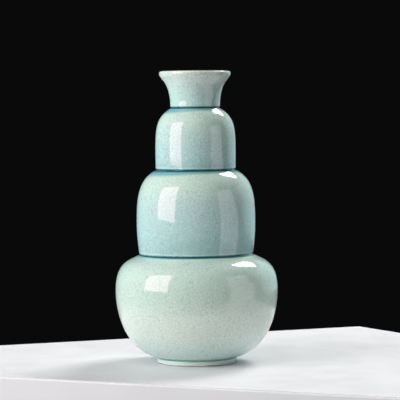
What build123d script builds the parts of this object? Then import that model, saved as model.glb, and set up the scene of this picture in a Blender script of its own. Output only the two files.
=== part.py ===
from build123d import *
import os

# Tiered gourd vase, thrown in sections that are luted together and then glazed.
# A foot ring, a squat bulb, two bell-shaped tiers and a flared neck stand on each other. A section ends in a
# flat seat with an upright collar, and the wall of the next one stands on the seat, round the collar.
# A bed of clay slip holds each joint, and a line of thick glaze fills the crease outside it.
# The vase stands on z = 0 with its axis on Z. All lengths are in millimetres.

# Outside radii, from the foot up
foot_radius = 41.5
bulb_belly_radius = 83.7
middle_belly_radius = 61.3
upper_belly_radius = 41.4
neck_radius = 25.5
lip_radius = 36.7

# How far the tiers draw in from their widest place to the edge that they stand on
middle_tuck = 2.4
upper_tuck = 0.2

# Heights of the sections, and of their widest places, each from the section's own base
foot_height = 5.0
bulb_height = 105.0
bulb_belly_height = 69.3
middle_height = 85.4
middle_belly_height = 31.0
upper_height = 62.1
upper_belly_height = 13.2
neck_height = 36.9
lip_height = 3.2

# Walls
foot_wall = 8.5
floor_thickness = 8.0
bulb_wall = 5.5
middle_wall = 5.0
upper_wall = 4.5
neck_wall = 4.0
lip_thickness = 3.6

# Luted joints
slip_thickness = 1.4
collar_height = 6.0
collar_thickness = 3.0
collar_gap = 0.6
spigot_depth = 1.5
seat_ledge = 0.4
crease_share = 0.45
glaze_dip_share = 0.2

# Softened edges, and the most of a wall that a rounding may take
edge_round = 1.1
lip_round = 1.2
foot_chamfer = 0.9
round_limit_share = 0.4

# How an outline swells between an edge and its widest place, as shares of the width and the height between
# them: how far it reaches out from the edge, how far it lifts there, and how long it then stays upright
bulb_base_shares = (0.58, 0.05, 0.52)
bulb_shoulder_shares = (0.29, 0.152, 0.856)
tier_side_shares = (0.5, 0.33, 0.4)
middle_shoulder_shares = (0.97, 0.172, 0.43)
upper_shoulder_shares = (1.0, 0.205, 0.575)
flare_shares = (0.095, 0.173, 0.78)


class Joint:
    """A flat seat with a collar on one section, and the wall of the next section that stands on it."""

    def __init__(self, seat, edge_radius, wall):
        self.seat = seat
        self.base = seat + slip_thickness
        self.edge_radius = edge_radius
        self.edge_round = min(edge_round, round_limit_share * wall)
        self.bore = edge_radius - wall
        self.collar = self.bore - collar_gap
        self.collar_bore = self.collar - collar_thickness
        self.collar_top = seat + collar_height
        self.crease = crease_share * wall


# Joints and levels, from the foot up
foot_bore = foot_radius - foot_wall
foot_crease = crease_share * foot_wall
foot_edge_round = min(edge_round, round_limit_share * foot_wall)
spigot_radius = foot_bore - collar_gap
spigot_end = foot_height - spigot_depth
bulb_base = foot_height + slip_thickness
middle_joint = Joint(bulb_base + bulb_height, middle_belly_radius - middle_tuck, middle_wall)
upper_joint = Joint(middle_joint.base + middle_height, upper_belly_radius - upper_tuck, upper_wall)
neck_joint = Joint(upper_joint.base + upper_height, neck_radius, neck_wall)
mouth = neck_joint.base + neck_height


def swell(edge, belly, shares):
    """Draws the curve from an edge to the widest or narrowest place, where it runs upright."""
    reach_share, lift_share, hold_share = shares
    width = belly[0] - edge[0]
    height = belly[1] - edge[1]
    return Bezier(
        edge,
        (edge[0] + reach_share * width, edge[1] + lift_share * height),
        (belly[0], belly[1] - hold_share * height),
        belly,
    )


def shoulder(belly, wall, joint, shares):
    """Draws a section's upper half: the shoulder, the seat and its collar, and the vault inside."""
    seat_edge = (joint.edge_radius + seat_ledge, joint.seat)
    vault_edge = (joint.collar_bore, joint.seat - wall)
    swell(seat_edge, belly, shares)
    Polyline(
        seat_edge,
        (joint.collar, joint.seat),
        (joint.collar, joint.collar_top),
        (joint.collar_bore, joint.collar_top),
        vault_edge,
    )
    swell(vault_edge, (belly[0] - wall, belly[1]), shares)


def side(belly, wall, joint):
    """Draws a tier's lower half: the outside, the edge that it stands on, and the bore round the collar."""
    base_edge = (joint.edge_radius, joint.base)
    bore_top = (joint.bore, joint.collar_top)
    swell(base_edge, belly, tier_side_shares)
    Polyline(base_edge, (joint.bore, joint.base), bore_top)
    swell(bore_top, (belly[0] - wall, belly[1]), tier_side_shares)


def standing_edge(section):
    """Picks the outer edge that a section stands on."""
    circles = section.edges().filter_by(GeomType.CIRCLE)
    return circles.group_by(Axis.Z)[0].sort_by(SortBy.RADIUS)[-1]


def glaze_ring(root, low, high):
    """Draws a line of pooled glaze: it fills a crease out from its root, and its face is drawn in."""
    dip = glaze_dip_share * (high[1] - low[1])
    hollow = ((low[0] + high[0]) / 2 - dip, (low[1] + high[1]) / 2)
    Polyline(high, (root, high[1]), (root, low[1]), low)
    ThreePointArc(low, hollow, high)


# Foot ring: a turned ring with a flat face to stand on
with BuildPart() as foot_ring:
    with BuildSketch() as foot_face:
        Circle(foot_radius)
        Circle(foot_bore, mode=Mode.SUBTRACT)
    extrude(amount=foot_height)
    foot_edges = foot_ring.edges().filter_by(GeomType.CIRCLE)
    chamfer(foot_edges.group_by(Axis.Z)[0], foot_chamfer)
    fillet(foot_edges.group_by(Axis.Z)[-1].sort_by(SortBy.RADIUS)[-1], foot_edge_round)
foot_ring.part.label = "foot_ring"

# Slip of the foot: a bed on the ring, and a skirt that hangs round the spigot
with BuildPart() as foot_slip:
    with BuildSketch(Plane.XZ) as foot_slip_section:
        with BuildLine() as foot_slip_line:
            Polyline(
                (spigot_radius, bulb_base),
                (foot_radius - foot_crease, bulb_base),
                (foot_radius - foot_crease, foot_height),
                (foot_bore, foot_height),
                (foot_bore, spigot_end),
                (spigot_radius, spigot_end),
                close=True,
            )
        make_face()
    revolve(axis=Axis.Z)
foot_slip.part.label = "foot_slip"

# Glaze line of the foot: from the ring's rounded edge up to the base of the bulb
with BuildPart() as foot_glaze_line:
    with BuildSketch(Plane.XZ) as foot_glaze_section:
        with BuildLine() as foot_glaze_edge:
            glaze_ring(
                foot_radius - foot_crease,
                (foot_radius - foot_edge_round, foot_height),
                (foot_radius, bulb_base),
            )
        make_face()
    revolve(axis=Axis.Z)
foot_glaze_line.part.label = "foot_glaze_line"

# Lower bulb: a squat bowl with a spigot under its floor
bulb_belly = (bulb_belly_radius, bulb_base + bulb_belly_height)
bulb_hollow = (bulb_belly_radius - bulb_wall, bulb_base + bulb_belly_height)
bulb_edge = (foot_radius, bulb_base)
floor_edge = (foot_radius - bulb_wall, bulb_base + floor_thickness)
with BuildPart() as lower_bulb:
    with BuildSketch(Plane.XZ) as bulb_section:
        with BuildLine() as bulb_line:
            swell(bulb_edge, bulb_belly, bulb_base_shares)
            shoulder(bulb_belly, bulb_wall, middle_joint, bulb_shoulder_shares)
            swell(floor_edge, bulb_hollow, bulb_base_shares)
            Polyline(
                floor_edge,
                (0, bulb_base + floor_thickness),
                (0, spigot_end),
                (spigot_radius, spigot_end),
                (spigot_radius, bulb_base),
                bulb_edge,
            )
        make_face()
    revolve(axis=Axis.Z)
lower_bulb.part.label = "lower_bulb"

# Middle tier: an open bell that stands on the bulb
middle_belly = (middle_belly_radius, middle_joint.base + middle_belly_height)
with BuildPart() as middle_tier:
    with BuildSketch(Plane.XZ) as middle_section:
        with BuildLine() as middle_line:
            side(middle_belly, middle_wall, middle_joint)
            shoulder(middle_belly, middle_wall, upper_joint, middle_shoulder_shares)
        make_face()
    revolve(axis=Axis.Z)
    fillet(standing_edge(middle_tier), middle_joint.edge_round)
middle_tier.part.label = "middle_tier"

# Upper tier: a smaller bell that stands on the middle tier
upper_belly = (upper_belly_radius, upper_joint.base + upper_belly_height)
with BuildPart() as upper_tier:
    with BuildSketch(Plane.XZ) as upper_section:
        with BuildLine() as upper_line:
            side(upper_belly, upper_wall, upper_joint)
            shoulder(upper_belly, upper_wall, neck_joint, upper_shoulder_shares)
        make_face()
    revolve(axis=Axis.Z)
    fillet(standing_edge(upper_tier), upper_joint.edge_round)
upper_tier.part.label = "upper_tier"

# Flared neck: upright where it stands on the upper tier, turned out to a squared lip
neck_edge = (neck_joint.edge_radius, neck_joint.base)
neck_bore_top = (neck_joint.bore, neck_joint.collar_top)
lip_edge = (lip_radius, mouth - lip_height)
lip_bore_edge = (lip_radius - lip_thickness, mouth - lip_height)
with BuildPart() as flared_neck:
    with BuildSketch(Plane.XZ) as neck_section:
        with BuildLine() as neck_line:
            swell(lip_edge, neck_edge, flare_shares)
            Polyline(neck_edge, (neck_joint.bore, neck_joint.base), neck_bore_top)
            swell(lip_bore_edge, neck_bore_top, flare_shares)
            Polyline(lip_bore_edge, (lip_bore_edge[0], mouth), (lip_radius, mouth), lip_edge)
        make_face()
    revolve(axis=Axis.Z)
    fillet(standing_edge(flared_neck), neck_joint.edge_round)
    lip_edges = flared_neck.edges().filter_by(GeomType.CIRCLE).group_by(Axis.Z)[-1]
    fillet(lip_edges, min(lip_round, round_limit_share * lip_thickness))
flared_neck.part.label = "flared_neck"

# Slip and glaze line of the three joints above the foot
pieces = [foot_ring, foot_slip, foot_glaze_line, lower_bulb, middle_tier, upper_tier, flared_neck]
for name, joint in {"middle": middle_joint, "upper": upper_joint, "neck": neck_joint}.items():
    crease_root = joint.edge_radius - joint.crease
    with BuildPart() as slip:
        with BuildSketch(Plane.XZ) as slip_section:
            with BuildLine() as slip_line:
                Polyline(
                    (joint.collar, joint.seat),
                    (crease_root, joint.seat),
                    (crease_root, joint.base),
                    (joint.bore, joint.base),
                    (joint.bore, joint.collar_top),
                    (joint.collar, joint.collar_top),
                    close=True,
                )
            make_face()
        revolve(axis=Axis.Z)
    slip.part.label = f"{name}_slip"
    with BuildPart() as glaze_line:
        with BuildSketch(Plane.XZ) as glaze_section:
            with BuildLine() as glaze_edge:
                glaze_ring(
                    crease_root,
                    (joint.edge_radius, joint.seat),
                    (joint.edge_radius - joint.edge_round, joint.base),
                )
            make_face()
        revolve(axis=Axis.Z)
    glaze_line.part.label = f"{name}_glaze_line"
    pieces += [slip, glaze_line]

# One file for each piece
os.makedirs("parts", exist_ok=True)
for piece in pieces:
    export_step(piece.part, f"parts/{piece.part.label}.step")
    print(piece.part.label, "volume", round(piece.part.volume))
print("height", round(mouth, 2), "width", round(2 * bulb_belly_radius, 2))
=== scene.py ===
import math

import bmesh
import bpy
import numpy as np
from mathutils import Matrix, Vector


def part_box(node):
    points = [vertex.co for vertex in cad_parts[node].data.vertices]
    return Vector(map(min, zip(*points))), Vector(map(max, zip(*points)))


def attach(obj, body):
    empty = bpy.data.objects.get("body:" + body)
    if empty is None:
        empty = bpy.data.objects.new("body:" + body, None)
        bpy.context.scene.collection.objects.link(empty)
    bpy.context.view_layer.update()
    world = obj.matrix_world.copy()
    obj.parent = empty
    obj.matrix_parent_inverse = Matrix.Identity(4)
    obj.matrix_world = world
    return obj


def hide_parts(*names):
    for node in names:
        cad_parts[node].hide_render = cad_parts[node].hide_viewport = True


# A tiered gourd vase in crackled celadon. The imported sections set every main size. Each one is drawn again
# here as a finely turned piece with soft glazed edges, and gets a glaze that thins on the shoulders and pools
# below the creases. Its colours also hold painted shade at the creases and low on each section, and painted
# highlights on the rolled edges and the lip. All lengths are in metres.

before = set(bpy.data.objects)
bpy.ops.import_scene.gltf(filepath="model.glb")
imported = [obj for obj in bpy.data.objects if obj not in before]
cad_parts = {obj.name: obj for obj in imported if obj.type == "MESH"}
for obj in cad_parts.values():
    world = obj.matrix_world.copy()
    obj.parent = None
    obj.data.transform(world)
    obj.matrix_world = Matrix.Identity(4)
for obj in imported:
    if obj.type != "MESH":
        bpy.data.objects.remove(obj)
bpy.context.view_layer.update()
MM = 0.001

# Outline shares of the sections, as the solids have them: reach, lift and hold of each swelling curve
BULB_BASE_SHARES = (0.58, 0.05, 0.52)
BULB_SHOULDER_SHARES = (0.29, 0.152, 0.856)
TIER_SIDE_SHARES = (0.5, 0.33, 0.4)
MIDDLE_SHOULDER_SHARES = (0.97, 0.172, 0.43)
UPPER_SHOULDER_SHARES = (1.0, 0.205, 0.575)
FLARE_SHARES = (0.095, 0.173, 0.78)

# Heights of the widest places above their section's base
BULB_BELLY_HEIGHT = 69.3 * MM
MIDDLE_BELLY_HEIGHT = 31.0 * MM
UPPER_BELLY_HEIGHT = 13.2 * MM

# Walls, collars and edges
BULB_WALL = 5.5 * MM
MIDDLE_WALL = 5.0 * MM
UPPER_WALL = 4.5 * MM
NECK_WALL = 4.0 * MM
FOOT_WALL = 8.5 * MM
FLOOR_THICKNESS = 8.0 * MM
COLLAR_GAP = 0.6 * MM
COLLAR_THICKNESS = 3.0 * MM
SEAT_LEDGE = 0.4 * MM
LIP_HEIGHT = 3.2 * MM
LIP_THICKNESS = 3.6 * MM
LIP_ROUND = 1.7 * MM
EDGE_ROUND = 1.1 * MM
SEAT_ROUND = 0.3 * MM
FOOT_CHAMFER = 0.9 * MM
FOOT_ROUND = 1.1 * MM
FOOT_SOFT = 0.25 * MM
GLAZE_DIP_SHARE = 0.2

# Fineness of the turned pieces
TURN_STEPS = 256
CURVE_STEPS = 48
ARC_STEPS = 8
SHARP_ANGLE = math.radians(50)

# Unevenness of hand turning: amplitude, waves round the vase, waves along one metre of height, and phase
WOBBLES = (
    (0.10 * MM, 2, 3.1, 0.4),
    (0.06 * MM, 3, 7.3, 2.1),
    (0.04 * MM, 5, 13.0, 4.4),
)

# How far the foot of the middle tier leans: it is this much higher on the right of the view than on the axis
FOOT_LEAN = 1.0 * MM


class Joint:
    """A seat with its collar and the edge that stands on it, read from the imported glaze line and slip."""

    def __init__(self, name, wall):
        line_low, line_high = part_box(f"{name}_glaze_line")
        self.seat = line_low.z
        self.base = line_high.z
        self.edge_radius = line_high.x
        self.bore = self.edge_radius - wall
        self.collar = self.bore - COLLAR_GAP
        self.collar_bore = self.collar - COLLAR_THICKNESS
        self.collar_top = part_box(f"{name}_slip")[1].z


middle_joint = Joint("middle", MIDDLE_WALL)
upper_joint = Joint("upper", UPPER_WALL)
neck_joint = Joint("neck", NECK_WALL)
foot_radius, foot_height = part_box("foot_ring")[1].x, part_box("foot_ring")[1].z
foot_bore = foot_radius - FOOT_WALL
bulb_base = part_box("foot_glaze_line")[1].z
spigot_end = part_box("lower_bulb")[0].z
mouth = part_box("flared_neck")[1].z


# Curves and turning
def swell(edge, belly, shares):
    """Points of the curve from an edge to the widest or narrowest place, where it runs upright."""
    reach_share, lift_share, hold_share = shares
    edge, belly = np.array(edge), np.array(belly)
    width, height = belly - edge
    first = edge + np.array((reach_share * width, lift_share * height))
    second = belly - np.array((0.0, hold_share * height))
    t = np.linspace(0.0, 1.0, CURVE_STEPS)[:, None]
    return (1 - t) ** 3 * edge + 3 * t * (1 - t) ** 2 * first + 3 * t**2 * (1 - t) * second + t**3 * belly


def unit(vector):
    return vector / np.linalg.norm(vector)


def soften(before, after, radius):
    """Joins two runs of points that meet at a corner by an arc of this radius."""
    before, after = np.array(before), np.array(after)
    corner = after[0]
    back, ahead = unit(before[-2] - corner), unit(after[1] - corner)
    half = math.acos(np.clip(back @ ahead, -1.0, 1.0)) / 2
    cut = radius / math.tan(half)
    centre = corner + unit(back + ahead) * radius / math.sin(half)
    first, last = unit(corner + back * cut - centre), unit(corner + ahead * cut - centre)
    turn = math.acos(np.clip(first @ last, -1.0, 1.0))
    steps = np.linspace(0.0, turn, ARC_STEPS)[:, None]
    arc = centre + radius * (np.sin(turn - steps) * first + np.sin(steps) * last) / math.sin(turn)
    kept_before = [p for p in before if np.linalg.norm(p - corner) > cut]
    kept_after = [p for p in after if np.linalg.norm(p - corner) > cut]
    return np.array([*kept_before, *arc, *kept_after])


def wobble(angle, z):
    """How far hand turning leaves the true circle at this place."""
    return sum(
        size * np.cos(round_waves * angle + 2 * math.pi * rise_waves * z + phase)
        for size, round_waves, rise_waves, phase in WOBBLES
    )


def lean(angle, z):
    """How far the uneven foot of the middle tier lifts or lowers the wall at this place."""
    levels = (middle_joint.seat, middle_joint.base, upper_joint.seat)
    return np.interp(z, levels, (0.0, FOOT_LEAN, 0.0)) * np.cos(angle)


def turned(name, outline, closed=True):
    """Makes a piece by turning an outline of radius and height about the axis."""
    angles = np.linspace(0.0, 2 * math.pi, TURN_STEPS, endpoint=False)
    verts, rings = [], []
    for radius, z in outline:
        if radius == 0:
            rings.append([len(verts)] * TURN_STEPS)
            verts.append((0.0, 0.0, z))
            continue
        radii = radius + wobble(angles, z)
        rings.append(list(range(len(verts), len(verts) + TURN_STEPS)))
        verts += list(zip(radii * np.cos(angles), radii * np.sin(angles), z + lean(angles, z)))
    pairs = list(zip(rings, rings[1:]))
    if closed:
        pairs.append((rings[-1], rings[0]))
    faces = []
    for low, high in pairs:
        for i in range(TURN_STEPS):
            j = (i + 1) % TURN_STEPS
            corners = list(dict.fromkeys((low[i], low[j], high[j], high[i])))
            faces.append(corners)
    mesh = bpy.data.meshes.new(name)
    mesh.from_pydata(verts, [], faces)
    mesh.validate()
    mesh.shade_smooth()
    mesh.set_sharp_from_angle(angle=SHARP_ANGLE)
    piece = bpy.data.objects.new(name, mesh)
    bpy.context.scene.collection.objects.link(piece)
    return piece


# Outlines of the sections, each from the outside of its base, up, over and down the inside
def shoulder(belly, wall, joint, shares):
    """The upper half of a section: shoulder, seat, collar and the vault inside."""
    seat_edge = (joint.edge_radius + SEAT_LEDGE, joint.seat)
    vault_edge = (joint.collar_bore, joint.seat - wall)
    rise = swell(seat_edge, belly, shares)[::-1]
    seat = [seat_edge, (joint.collar, joint.seat)]
    collar = [(joint.collar, joint.collar_top), (joint.collar_bore, joint.collar_top)]
    vault = swell(vault_edge, (belly[0] - wall, belly[1]), shares)
    return np.vstack([soften(rise, seat, SEAT_ROUND), collar, vault])


def tier_outline(node, wall, joint, belly_height, next_joint, shares):
    """A bell that stands on one joint and carries the next."""
    belly = (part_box(node)[1].x, joint.base + belly_height)
    edge = (joint.edge_radius, joint.base)
    bore_top = (joint.bore, joint.collar_top)
    side = soften([(joint.bore, joint.base), edge], swell(edge, belly, TIER_SIDE_SHARES), EDGE_ROUND)
    inside = swell(bore_top, (belly[0] - wall, belly[1]), TIER_SIDE_SHARES)[::-1]
    return np.vstack([side[:-1], shoulder(belly, wall, next_joint, shares)[:-1], inside])


def bulb_outline():
    """The squat bulb, with the spigot under its floor."""
    belly = (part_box("lower_bulb")[1].x, bulb_base + BULB_BELLY_HEIGHT)
    floor_edge = (foot_radius - BULB_WALL, bulb_base + FLOOR_THICKNESS)
    spigot = foot_bore - COLLAR_GAP
    under = [(0.0, spigot_end), (spigot, spigot_end), (spigot, bulb_base)]
    side = swell((foot_radius, bulb_base), belly, BULB_BASE_SHARES)
    inside = swell(floor_edge, (belly[0] - BULB_WALL, belly[1]), BULB_BASE_SHARES)[::-1]
    top = shoulder(belly, BULB_WALL, middle_joint, BULB_SHOULDER_SHARES)
    return np.vstack([under, side[:-1], top[:-1], inside, [(0.0, floor_edge[1])]])


def neck_outline():
    """The flared neck with its squared, softened lip."""
    edge = (neck_joint.edge_radius, neck_joint.base)
    bore_top = (neck_joint.bore, neck_joint.collar_top)
    lip_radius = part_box("flared_neck")[1].x
    lip_edge = (lip_radius, mouth - LIP_HEIGHT)
    lip_bore = (lip_radius - LIP_THICKNESS, mouth - LIP_HEIGHT)
    flare = swell(lip_edge, edge, FLARE_SHARES)[::-1]
    side = soften([(neck_joint.bore, neck_joint.base), edge], flare, EDGE_ROUND)
    lip_top = [(lip_radius, mouth), (lip_bore[0], mouth)]
    outer = soften([lip_edge, lip_top[0]], lip_top, LIP_ROUND)
    inner = soften(lip_top, [lip_top[1], lip_bore], LIP_ROUND)
    inside = swell(lip_bore, bore_top, FLARE_SHARES)
    return np.vstack([side[:-1], outer[:-1], inner[1:-1], inside])


def foot_outline():
    """The foot ring, with a chamfer on both edges of its standing face."""
    inner, outer = foot_bore, foot_radius
    face = [(inner + FOOT_CHAMFER, 0.0), (outer - FOOT_CHAMFER, 0.0)]
    wall = [(outer, FOOT_CHAMFER), (outer, foot_height)]
    top = [(outer, foot_height), (inner, foot_height), (inner, FOOT_CHAMFER)]
    return soften(soften(face, [face[-1], *wall], FOOT_SOFT), top, FOOT_ROUND)


def glaze_line_outline(low, high, root):
    """A ring of pooled glaze whose face is drawn in, deepest half way up."""
    low, high = np.array(low), np.array(high)
    t = np.linspace(0.0, 1.0, ARC_STEPS)[:, None]
    dip = np.array((GLAZE_DIP_SHARE * (high[1] - low[1]), 0.0))
    face = low + t * (high - low) - 4 * t * (1 - t) * dip
    return np.vstack([face, [(root, high[1]), (root, low[1])]])


# Node trees
# Sockets of the colour mix node, and the middle and the usual range of a noise
MIX_FACTOR, MIX_FIRST, MIX_SECOND, MIX_RESULT = 0, 6, 7, 2
NOISE_MIDDLE = (0.5, 0.5, 0.5)
NOISE_LOW, NOISE_HIGH = 0.3, 0.7


def srgb(red, green, blue):
    """A colour given in the usual 0 to 255 levels, as linear light with full alpha."""
    levels = np.array((red, green, blue)) / 255
    light = np.where(levels <= 0.04045, levels / 12.92, ((levels + 0.055) / 1.055) ** 2.4)
    return (*light.tolist(), 1.0)


class Nodes:
    """Adds nodes to a tree and feeds their inputs with links or plain values."""

    def __init__(self, tree):
        self.tree = tree

    def add(self, kind, inputs=None, **settings):
        node = self.tree.nodes.new(kind)
        for key, value in settings.items():
            setattr(node, key, value)
        self.feed(node, inputs or {})
        return node

    def feed(self, node, inputs):
        for key, value in inputs.items():
            if isinstance(value, bpy.types.NodeSocket):
                self.tree.links.new(value, node.inputs[key])
            else:
                node.inputs[key].default_value = value

    def maths(self, operation, first, second):
        return self.add("ShaderNodeMath", {0: first, 1: second}, operation=operation).outputs[0]

    def vector_maths(self, operation, inputs, output=0):
        return self.add("ShaderNodeVectorMath", inputs, operation=operation).outputs[output]


class Material(Nodes):
    """A node material that is built from a few short calls."""

    def __init__(self, name):
        self.material = bpy.data.materials.new(name)
        self.material.use_nodes = True
        super().__init__(self.material.node_tree)
        self.shader = self.tree.nodes["Principled BSDF"]
        self.place = self.add("ShaderNodeTexCoord").outputs["Object"]

    def noise(self, scale, detail):
        return self.add("ShaderNodeTexNoise", {"Vector": self.place, "Scale": scale, "Detail": detail})

    def span(self, value, low, high, to_low, to_high, smooth=True):
        inputs = {"Value": value, "From Min": low, "From Max": high, "To Min": to_low, "To Max": to_high}
        kind = "SMOOTHSTEP" if smooth else "LINEAR"
        return self.add("ShaderNodeMapRange", inputs, interpolation_type=kind).outputs["Result"]

    def mottle(self, scale, detail, low, high):
        """A noise that is spread over the range from low to high."""
        return self.span(self.noise(scale, detail).outputs[0], NOISE_LOW, NOISE_HIGH, low, high)

    def mix(self, factor, first, second):
        inputs = {MIX_FACTOR: factor, MIX_FIRST: first, MIX_SECOND: second}
        return self.add("ShaderNodeMix", inputs, data_type="RGBA").outputs[MIX_RESULT]

    def ramp(self, value, stops):
        node = self.add("ShaderNodeValToRGB", {"Fac": value})
        elements = node.color_ramp.elements
        while len(elements) < len(stops):
            elements.new(0.5)
        for element, (place, colour) in zip(elements, stops):
            element.position = place
            element.color = colour
        return node.outputs["Color"]

    def along(self, axis):
        """The place along one axis."""
        return self.add("ShaderNodeSeparateXYZ", {0: self.place}).outputs[axis]

    def reach(self):
        """Distance from the axis of the vase."""
        level = self.vector_maths("MULTIPLY", {0: self.place, 1: (1.0, 1.0, 0.0)})
        return self.vector_maths("LENGTH", {0: level}, output="Value")

    def bump(self, strength, distance, scale, detail):
        """The normal of a surface with small bumps."""
        height = self.noise(scale, detail).outputs[0]
        inputs = {"Strength": strength, "Distance": distance, "Height": height}
        return self.add("ShaderNodeBump", inputs).outputs["Normal"]


# Glaze colours, from the pools to the thin glaze on the edges.
# Some of them also hold painted shade and painted highlights, as noted beside them.
# Ink: dark pooled glaze at the creases, made darker still as painted crease shade.
INK = srgb(16, 98, 106)
POOLED = srgb(120, 178, 174)
# The pool's blue on the left of the view, deepened as a painted reflection.
POOLED_BLUE_AND_REFLECTION = srgb(126, 190, 206)
# The deep glaze low on the tiers is darker partly from thick glaze and partly as painted shade.
DEEP_AND_SHADE = srgb(164, 206, 207)
BLUE = srgb(182, 220, 221)
MEDIUM = srgb(197, 227, 221)
# The bulb's colour near its foot is darker partly as painted shade.
BASE = srgb(207, 227, 221)
BELLY = srgb(211, 230, 214)
FAIR = srgb(212, 235, 222)
WARM = srgb(227, 236, 223)
PALE = srgb(218, 239, 223)
# Near white on the lip's edges: thin glaze, with a painted highlight. The foot's thin glaze edge uses it too.
EDGE = srgb(250, 251, 242)
COOL = srgb(205, 237, 229)
FRESH = srgb(220, 246, 235)
CREAM = srgb(246, 255, 246)
SEAM = srgb(224, 229, 215)
# A pale line on the rolled foot edge of the tiers and the neck: thin glaze, with a painted highlight.
ROLL = srgb(192, 230, 230)

# Crackle: two nets of cells, and how wide a crack is as a share of its cell
CRACK_CELL = 3.4 * MM
CRACK_WIDTH_SHARE = 0.085
CRACK_COLOUR = srgb(72, 126, 128)
CRACK_STRENGTH = 0.36
CRACK_DRIFT = 0.9 * MM
FINE_CELL = 2.1 * MM
FINE_WIDTH_SHARE = 0.1
BLOOM = srgb(228, 247, 243)
BLOOM_STRENGTH = 0.3
CELL_CONTRAST = 0.22
CELL_TONES = (0.2, 0.8)

# Pools of glaze below the creases, with painted crease shade next to them, reaching further and bluer on the
# left of the view as a painted reflection
POOL_LEAST_SHARE = 0.5
POOL_PAST_AXIS_SHARE = 0.2
POOL_FULL_SHARE = 0.6
POOL_MARGIN = 0.5 * MM
INK_SHARE = 0.28
INK_EDGE_SHARE = 1 / 6
INK_STRENGTH = 0.95

# Unevenness and gloss of the glaze
TINT_STRENGTH = 0.2
CLOUD_STRENGTH = 0.12
GLAZE_ROUGHNESS = (0.035, 0.075)
GLAZE_INDEX = 1.63
RIPPLE_STRENGTH = 0.02
RIPPLE_DEPTH = 0.4 * MM


def crackle(material, colour):
    """Lays a fine net of dark and pale cracks over a glaze colour, on cells of uneven tone."""
    drift = material.noise(scale=110.0, detail=2.0).outputs["Color"]
    shifted = material.vector_maths("SUBTRACT", {0: drift, 1: NOISE_MIDDLE})
    warped = material.vector_maths("MULTIPLY_ADD", {0: shifted, 1: (CRACK_DRIFT,) * 3, 2: material.place})
    patches = material.mottle(scale=22.0, detail=3.0, low=0.6, high=1.0)

    def net(cell, width_share, strength):
        inputs = {"Vector": warped, "Scale": 1 / cell}
        gap = material.add("ShaderNodeTexVoronoi", inputs, feature="DISTANCE_TO_EDGE").outputs["Distance"]
        return material.maths("MULTIPLY", material.span(gap, 0.0, width_share, strength, 0.0), patches)

    cells = material.add("ShaderNodeTexVoronoi", {"Vector": warped, "Scale": 1 / CRACK_CELL})
    tone = material.span(cells.outputs["Color"], *CELL_TONES, 0.0, CELL_CONTRAST, smooth=False)
    colour = material.mix(tone, colour, BLOOM)
    colour = material.mix(net(FINE_CELL, FINE_WIDTH_SHARE, BLOOM_STRENGTH), colour, BLOOM)
    return material.mix(net(CRACK_CELL, CRACK_WIDTH_SHARE, CRACK_STRENGTH), colour, CRACK_COLOUR)


def pool_with_shade(material, colour, seat, radius, depth, ink_share):
    """Deepens a glaze towards the crease above it, with painted crease shade next to the crease. It reaches
    further and bluer on the left of the view, as a painted reflection.
    """
    past_axis = POOL_PAST_AXIS_SHARE * radius
    side = material.span(material.along("X"), -radius, past_axis, 1.0, 0.0, smooth=False)
    reach = material.span(side, 0.0, 1.0, POOL_LEAST_SHARE * depth, depth, smooth=False)
    below = material.maths("SUBTRACT", seat, material.along("Z"))
    fullness = material.maths("SUBTRACT", 1.0, material.maths("DIVIDE", below, reach))
    outside = material.maths("GREATER_THAN", material.reach(), radius - POOL_MARGIN)
    patches = material.mottle(scale=45.0, detail=2.0, low=0.8, high=1.0)
    thick = material.maths("MULTIPLY", material.span(fullness, 0.0, POOL_FULL_SHARE, 0.0, 1.0), patches)
    pooled = material.mix(thick, colour, material.mix(side, POOLED, POOLED_BLUE_AND_REFLECTION))
    # Nearest the crease the pool turns to ink: dark pooled glaze with painted crease shade.
    ink_start, ink_full = 1 - ink_share, 1 - ink_share * INK_EDGE_SHARE
    pooled = material.mix(material.span(fullness, ink_start, ink_full, 0.0, INK_STRENGTH), pooled, INK)
    return material.mix(outside, colour, pooled)


def celadon(name, low, high, stops, pool_radius=None, pool_depth=None, ink_share=INK_SHARE):
    """Glossy crackled glaze whose colour follows its thickness up a section, to the pool at its top.
    Low down and at the creases its colour also holds painted shade.
    """
    made = Material(name)
    share = made.span(made.along("Z"), low, high, 0.0, 1.0, smooth=False)
    colour = made.ramp(share, stops)
    colour = made.mix(made.mottle(scale=14.0, detail=3.0, low=0.0, high=TINT_STRENGTH), colour, MEDIUM)
    colour = made.mix(made.mottle(scale=60.0, detail=4.0, low=0.0, high=CLOUD_STRENGTH), colour, PALE)
    colour = crackle(made, colour)
    if pool_depth:
        colour = pool_with_shade(made, colour, high, pool_radius, pool_depth, ink_share)
    gloss = made.mottle(40.0, 3.0, *GLAZE_ROUGHNESS)
    ripple = made.bump(RIPPLE_STRENGTH, RIPPLE_DEPTH, scale=80.0, detail=1.0)
    made.feed(made.shader, {"Base Color": colour, "Roughness": gloss, "IOR": GLAZE_INDEX, "Normal": ripple})
    return made.material


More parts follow.
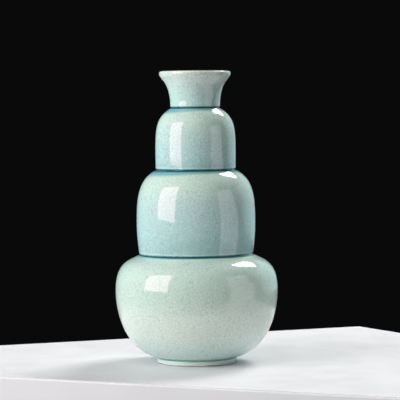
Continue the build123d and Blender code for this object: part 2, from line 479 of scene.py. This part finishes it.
# In the ramps of the neck and tiers the lowest stops paint the rounded foot edge dark with ink, as painted
# crease shade over pooled glaze, then pale, as a painted highlight over thin glaze on the rolled edge.
celadon_neck = celadon(
    "celadon_neck",
    neck_joint.base,
    mouth,
    [
        (0.0, INK),
        (0.013, INK),
        (0.025, ROLL),
        (0.06, COOL),
        (0.28, COOL),
        (0.5, FRESH),
        (0.72, CREAM),
        (0.84, CREAM),
        # The lip's top and lower edge: thin glaze with a painted highlight, and a greyer band between them.
        (0.88, EDGE),
        (0.93, SEAM),
        (0.96, EDGE),
    ],
)
celadon_upper = celadon(
    "celadon_upper",
    upper_joint.base,
    neck_joint.seat,
    [
        (0.0, INK),
        (0.008, INK),
        (0.016, ROLL),
        (0.03, ROLL),
        (0.05, DEEP_AND_SHADE),
        (0.18, BLUE),
        (0.45, MEDIUM),
        (0.7, FAIR),
        (0.85, PALE),
    ],
    pool_radius=neck_joint.edge_radius,
    pool_depth=6.5 * MM,
    ink_share=0.09,
)
celadon_middle = celadon(
    "celadon_middle",
    middle_joint.base,
    upper_joint.seat,
    [
        (0.0, INK),
        (0.006, INK),
        (0.012, ROLL),
        (0.022, ROLL),
        (0.036, DEEP_AND_SHADE),
        (0.1, DEEP_AND_SHADE),
        (0.35, BLUE),
        (0.62, MEDIUM),
        (0.78, FAIR),
        (0.9, PALE),
    ],
    pool_radius=upper_joint.edge_radius,
    pool_depth=7.0 * MM,
)
celadon_bulb = celadon(
    "celadon_bulb",
    bulb_base,
    middle_joint.seat,
    [
        (0.0, BASE),
        (0.1, BASE),
        (0.25, WARM),
        (0.45, WARM),
        (0.6, BELLY),
        (0.75, BELLY),
        (0.85, FAIR),
        (0.95, PALE),
    ],
    pool_radius=middle_joint.edge_radius,
    pool_depth=2.0 * MM,
)


# The other materials
LINE_ROUGHNESS = (0.05, 0.12)
LINE_INDEX = 1.55
FOOT_INDEX = 1.5
CLAY_ROUGHNESS, FOOT_GLAZE_ROUGHNESS = 0.85, 0.12
GLAZE_START_SHARE, GLAZE_FULL_SHARE = 0.18, 0.3
FOOT_DRIFT_SHARE = 0.06
FOOT_DRIFT_RANGE = (0.25, 0.75)
GRAIN_STRENGTH = 0.2
GRAIN_DEPTH = 0.3 * MM
SLIP_ROUGHNESS = (0.75, 0.9)


def glaze_line(name, dark, light):
    """Thick glaze, blue-green and a little cloudy."""
    made = Material(name)
    colour = made.mix(made.mottle(scale=70.0, detail=3.0, low=0.0, high=1.0), dark, light)
    gloss = made.mottle(120.0, 2.0, *LINE_ROUGHNESS)
    made.feed(made.shader, {"Base Color": colour, "Roughness": gloss, "IOR": LINE_INDEX})
    return made.material


def foot_material():
    """Thin glaze on the foot's side, and bare grainy clay on its standing face."""
    made = Material("foot_clay")
    share = made.span(made.along("Z"), 0.0, foot_height, 0.0, 1.0, smooth=False)
    waves = made.noise(scale=90.0, detail=3.0).outputs[0]
    drift = made.span(waves, *FOOT_DRIFT_RANGE, -FOOT_DRIFT_SHARE, FOOT_DRIFT_SHARE)
    edge = made.maths("ADD", share, drift)
    # A darker grey band runs between the bare clay and the glaze.
    clay, dark_band = srgb(196, 192, 182), srgb(136, 134, 126)
    stops = [(0.0, clay), (0.1, dark_band), (0.15, dark_band), (0.22, EDGE), (0.5, FRESH), (1.0, FRESH)]
    colour = made.ramp(edge, stops)
    gloss = made.span(edge, GLAZE_START_SHARE, GLAZE_FULL_SHARE, CLAY_ROUGHNESS, FOOT_GLAZE_ROUGHNESS)
    grain = made.bump(GRAIN_STRENGTH, GRAIN_DEPTH, scale=900.0, detail=3.0)
    made.feed(made.shader, {"Base Color": colour, "Roughness": gloss, "IOR": FOOT_INDEX, "Normal": grain})
    return made.material


def slip_material():
    """Matt fired slip, which the joints hide."""
    made = Material("fired_slip")
    grain = made.mottle(scale=700.0, detail=4.0, low=0.0, high=1.0)
    colour = made.mix(grain, srgb(196, 186, 168), srgb(216, 208, 194))
    gloss = made.mottle(700.0, 4.0, *SLIP_ROUGHNESS)
    made.feed(made.shader, {"Base Color": colour, "Roughness": gloss})
    return made.material


def floor_material():
    """Pale, almost matt and a little uneven."""
    made = Material("pale_floor")
    cloud = made.mottle(scale=9.0, detail=3.0, low=0.0, high=1.0)
    colour = made.mix(cloud, srgb(241, 238, 240), srgb(245, 242, 244))
    gloss = made.mottle(scale=30.0, detail=3.0, low=0.45, high=0.6)
    made.feed(made.shader, {"Base Color": colour, "Roughness": gloss})
    return made.material


# The pieces of the vase
def dress(piece, material, slot, *nodes):
    """Gives a piece its finish, sets it on the vase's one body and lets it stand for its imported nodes."""
    piece.data.materials.clear()
    piece.data.materials.append(material)
    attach(piece, "root")
    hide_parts(*nodes)


deep_line = glaze_line("deep_line", srgb(10, 92, 106), srgb(26, 122, 136))
foot_line = glaze_line("foot_line", srgb(130, 168, 164), srgb(156, 188, 183))
fired_slip = slip_material()

dress(turned("foot", foot_outline()), foot_material(), "foot_clay", "foot_ring")
dress(turned("bulb", bulb_outline(), closed=False), celadon_bulb, "celadon", "lower_bulb")
middle_outline = tier_outline(
    "middle_tier", MIDDLE_WALL, middle_joint, MIDDLE_BELLY_HEIGHT, upper_joint, MIDDLE_SHOULDER_SHARES
)
dress(turned("middle_bell", middle_outline), celadon_middle, "celadon", "middle_tier")
upper_outline = tier_outline(
    "upper_tier", UPPER_WALL, upper_joint, UPPER_BELLY_HEIGHT, neck_joint, UPPER_SHOULDER_SHARES
)
dress(turned("upper_bell", upper_outline), celadon_upper, "celadon", "upper_tier")
dress(turned("neck", neck_outline()), celadon_neck, "celadon", "flared_neck")
for name, joint in {"middle": middle_joint, "upper": upper_joint, "neck": neck_joint}.items():
    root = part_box(f"{name}_slip")[1].x
    outline = glaze_line_outline(
        (joint.edge_radius, joint.seat), (joint.edge_radius - EDGE_ROUND, joint.base), root
    )
    dress(turned(f"{name}_crease", outline), deep_line, "glaze_line", f"{name}_glaze_line")
foot_crease = glaze_line_outline(
    (foot_radius - FOOT_ROUND, foot_height), (foot_radius, bulb_base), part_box("foot_slip")[1].x
)
dress(turned("foot_crease", foot_crease), foot_line, "glaze_line", "foot_glaze_line")
for name in ("foot", "middle", "upper", "neck"):
    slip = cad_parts[f"{name}_slip"]
    slip.data.materials.clear()
    slip.data.materials.append(fired_slip)

# Stage: a plain pale floor, the top of a three-sided plinth
FLOOR_CORNERS = ((0.194, 0.321), (-0.5215, 0.037), (0.64, -0.463))
FLOOR_DEPTH = 0.35
FLOOR_ROUND = 2.0 * MM
FLOOR_ROUND_STEPS = 3


def pale_floor():
    """A plinth with softened edges, whose top is the floor."""
    shape = bmesh.new()
    top = shape.faces.new([shape.verts.new((x, y, 0.0)) for x, y in FLOOR_CORNERS])
    sides = bmesh.ops.extrude_face_region(shape, geom=[top])
    lower = [item for item in sides["geom"] if isinstance(item, bmesh.types.BMVert)]
    bmesh.ops.translate(shape, vec=(0.0, 0.0, -FLOOR_DEPTH), verts=lower)
    bmesh.ops.recalc_face_normals(shape, faces=shape.faces[:])
    edges = shape.edges[:]
    bmesh.ops.bevel(shape, geom=edges, offset=FLOOR_ROUND, segments=FLOOR_ROUND_STEPS, affect="EDGES")
    mesh = bpy.data.meshes.new("floor")
    shape.to_mesh(mesh)
    shape.free()
    floor = bpy.data.objects.new("floor", mesh)
    bpy.context.scene.collection.objects.link(floor)
    mesh.materials.append(floor_material())
    return floor


pale_floor()

# Studio: a tall softbox on the left and another high behind on the right light the vase. The glaze mirrors
# the sheen of both, a stepped white card close by on the right and a wide card behind on the right.
# Each lamp has its place, aim, width, height, power in watts and colour.
WHITE = (1.0, 1.0, 1.0)
PINK_WHITE = (1.0, 0.66, 0.73)
BLUE_WHITE = (0.62, 1.0, 1.02)
KEY_AIM = (-0.74, 0.48, 0.83)
KEY_WIDTH, KEY_HEIGHT = 1.34, 1.5
VASE_MIDDLE = (0.0, 0.0, 0.15)
LIGHTING_LAMPS = {
    "key": ((-1.53, -0.80, 0.83), KEY_AIM, KEY_WIDTH, KEY_HEIGHT, 25.0, WHITE),
    "back": ((1.105, 1.444, 1.885), VASE_MIDDLE, 0.95, 1.0, 43.0, WHITE),
}
MIRRORED_LAMPS = {
    "key_sheen": ((-1.524, -0.79, 0.83), KEY_AIM, KEY_WIDTH, KEY_HEIGHT, 29.0, PINK_WHITE),
    "card_low": ((0.544, -0.254, -0.01), (0.0, 0.0, -0.01), 0.42, 0.4, 0.66, WHITE),
    "card_high": ((0.528, -0.288, 0.345), (0.0, 0.0, 0.345), 0.375, 0.31, 0.5, WHITE),
    "back_sheen": ((0.985, 1.48, 1.92), VASE_MIDDLE, 0.90, 0.90, 38.0, WHITE),
    "rear_card": ((1.10, 1.02, 0.42), VASE_MIDDLE, 1.6, 1.0, 2.9, BLUE_WHITE),
}


def softbox(name, place, aim, width, height, power, colour, mirrored):
    """An area lamp that either lights matt colours or only shows as a reflection."""
    data = bpy.data.lights.new(name, "AREA")
    data.shape = "RECTANGLE"
    data.size, data.size_y = width, height
    data.energy = power
    data.color = colour
    lamp = bpy.data.objects.new(name, data)
    lamp.location = place
    lamp.rotation_euler = (Vector(place) - Vector(aim)).to_track_quat("Z", "Y").to_euler()
    lamp.visible_camera = False
    lamp.visible_diffuse = not mirrored
    lamp.visible_glossy = mirrored
    bpy.context.scene.collection.objects.link(lamp)


for name, settings in LIGHTING_LAMPS.items():
    softbox(name, *settings, mirrored=False)
for name, settings in MIRRORED_LAMPS.items():
    softbox(name, *settings, mirrored=True)

# The room round the studio, as the light that comes from its sides: where each side lies, how strong its
# light is, how closely that light keeps to the side, and its colour. The camera sees a dark backdrop instead.
ROOM_SIDES = {
    "left": ((-1.0, 0.0, 0.0), 0.62, 1.6, (0.93, 1.0, 1.03)),
    "left_back": ((-0.77, 0.64, 0.0), 0.21, 3, (0.6, 1.0, 1.08)),
    "right_back": ((0.735, 0.585, 0.34), 0.5, 7, (0.7, 1.0, 1.02)),
    "front_left": ((-0.5, -0.87, 0.0), 0.25, 6, WHITE),
    "front_top": ((-0.06, -0.6, 0.8), 0.58, 4, WHITE),
    "ceiling": ((0.0, 0.0, 1.0), 0.15, 1, WHITE),
}
BACKDROP = srgb(9, 10, 9)


def room_world():
    """The light of the room's sides, behind a dark backdrop."""
    world = bpy.data.worlds.new("studio_room")
    world.use_nodes = True
    world.node_tree.nodes.clear()
    made = Nodes(world.node_tree)
    direction = made.add("ShaderNodeTexCoord").outputs["Generated"]
    light = (0.0, 0.0, 0.0)
    for axis, strength, sharpness, colour in ROOM_SIDES.values():
        towards = made.vector_maths("DOT_PRODUCT", {0: direction, 1: axis}, output="Value")
        lit = made.maths("POWER", made.maths("MAXIMUM", towards, 0.0), sharpness)
        level = made.maths("MULTIPLY", lit, strength)
        side = made.vector_maths("SCALE", {0: colour, "Scale": level})
        light = made.vector_maths("ADD", {0: side, 1: light})
    room = made.add("ShaderNodeBackground", {"Color": light}).outputs[0]
    backdrop = made.add("ShaderNodeBackground", {"Color": BACKDROP}).outputs[0]
    seen = made.add("ShaderNodeLightPath").outputs["Is Camera Ray"]
    both = made.add("ShaderNodeMixShader", {0: seen, 1: room, 2: backdrop}).outputs[0]
    made.add("ShaderNodeOutputWorld", {"Surface": both})
    return world


bpy.context.scene.world = room_world()

# Camera, as the photograph was taken: a long lens at the height of the neck's foot
PHOTO_PIXELS = 400
FOCAL_PIXELS = 1989
SENSOR_WIDTH = 36.0
CAMERA_PLACE = (0.0042, -2.048, 0.2623)
CAMERA_PITCH = math.radians(2.653)
CAMERA_ROLL = math.radians(0.45)


def photo_camera():
    """A camera that looks along +Y and a little down."""
    lens = bpy.data.cameras.new("photo_view")
    lens.sensor_width = SENSOR_WIDTH
    lens.lens = SENSOR_WIDTH * FOCAL_PIXELS / PHOTO_PIXELS
    camera = bpy.data.objects.new("photo_view", lens)
    turn = Matrix.Rotation(math.pi / 2 - CAMERA_PITCH, 4, "X") @ Matrix.Rotation(-CAMERA_ROLL, 4, "Z")
    camera.matrix_world = Matrix.Translation(CAMERA_PLACE) @ turn
    bpy.context.scene.collection.objects.link(camera)
    return camera


bpy.context.scene.camera = photo_camera()
bpy.context.scene.view_settings.view_transform = "Standard"
